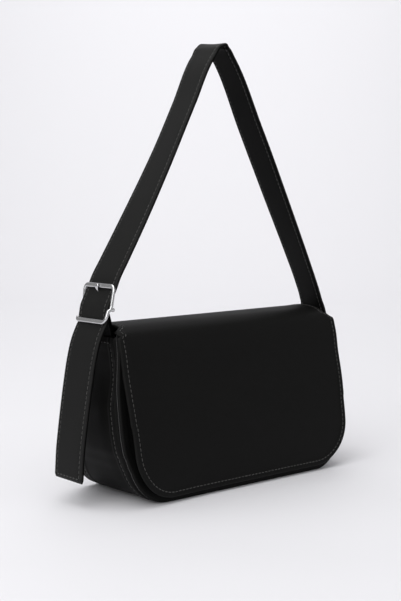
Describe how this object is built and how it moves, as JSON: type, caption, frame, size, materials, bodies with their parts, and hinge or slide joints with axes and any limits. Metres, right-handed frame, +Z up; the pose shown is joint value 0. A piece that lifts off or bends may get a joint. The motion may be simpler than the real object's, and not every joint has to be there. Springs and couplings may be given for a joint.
{
  "type": "baguette bag",
  "caption": "Black faux leather baguette bag with a long front flap, a zip under it, a magnetic snap and a shoulder strap that closes in a wire buckle.",
  "frame": {"origin": "middle of the bag's base, on the surface it stands on", "axes": "+Z up, +X along the bag's width with the buckle at -X, and the flap's front facing -Y"},
  "size_m": [0.2998, 0.0993, 0.407],
  "materials": {
    "leather": "matt black faux leather with a fine soft grain",
    "leather_facing": "matt black faux leather facing",
    "lining": "plain black woven lining",
    "board": "plain grey-brown bag board",
    "polished_metal": "polished nickel plate",
    "zip_tape": "black woven zip tape",
    "zip_teeth": "dark moulded zip teeth"
  },
  "bodies": {
    "body": {"front_panel": "leather", "back_panel": "leather", "gusset": "leather", "front_board": "board", "back_board": "board", "base_board": "board", "front_lining": "lining", "back_lining": "lining", "gusset_lining": "lining", "flap_seat": "leather", "snap_socket": "polished_metal", "snap_socket_washer": "polished_metal", "zip_tape_front": "zip_tape", "zip_tape_back": "zip_tape", "zip_teeth_front": "zip_teeth", "zip_teeth_back": "zip_teeth", "zip_end_clips": "polished_metal", "zip_slider": "polished_metal", "strap_seat": "leather", "strap_seat_backing": "leather_facing", "chape_seat": "leather"},
    "roof": {"flap_roof": "leather", "flap_roof_stiffener": "board", "flap_roof_lining": "leather_facing"},
    "flap": {"flap": "leather", "flap_stiffener": "board", "flap_lining": "leather_facing", "snap_stud": "polished_metal", "snap_stud_washer": "polished_metal"},
    "strap": {"strap": "leather", "strap_backing": "leather_facing", "chape": "leather", "buckle_frame": "polished_metal", "buckle_bar": "polished_metal"},
    "tail": {"strap_tail": "leather", "strap_tail_backing": "leather_facing"},
    "prong": {"buckle_prong": "polished_metal"},
    "pull": {"zip_pull": "polished_metal"}
  },
  "joints": [
    {"name": "flap_fold", "type": "hinge", "parent": "body", "child": "roof", "pos_m": [0, 0.02445, 0.152], "axis": [-1, 0, 0], "range_deg": [0, 32]},
    {"name": "flap_front", "type": "hinge", "parent": "roof", "child": "flap", "pos_m": [0, -0.025, 0.1488], "axis": [-1, 0, 0], "range_deg": [0, 120]},
    {"name": "strap_swing", "type": "hinge", "parent": "body", "child": "strap", "pos_m": [0, 0, 0.15], "axis": [-1, 0, 0], "range_deg": [-50, 50]},
    {"name": "tail_bend", "type": "hinge", "parent": "strap", "child": "tail", "pos_m": [-0.1412, 0, 0.1493], "axis": [0, 1, 0], "range_deg": [-12, 85]},
    {"name": "prong_lift", "type": "hinge", "parent": "strap", "child": "prong", "pos_m": [-0.137, 0, 0.17], "axis": [0, -1, 0], "range_deg": [0, 3]},
    {"name": "pull_lift", "type": "hinge", "parent": "body", "child": "pull", "pos_m": [0.1035, 0, 0.1463], "axis": [0, 1, 0], "range_deg": [0, 25]}
  ]
}
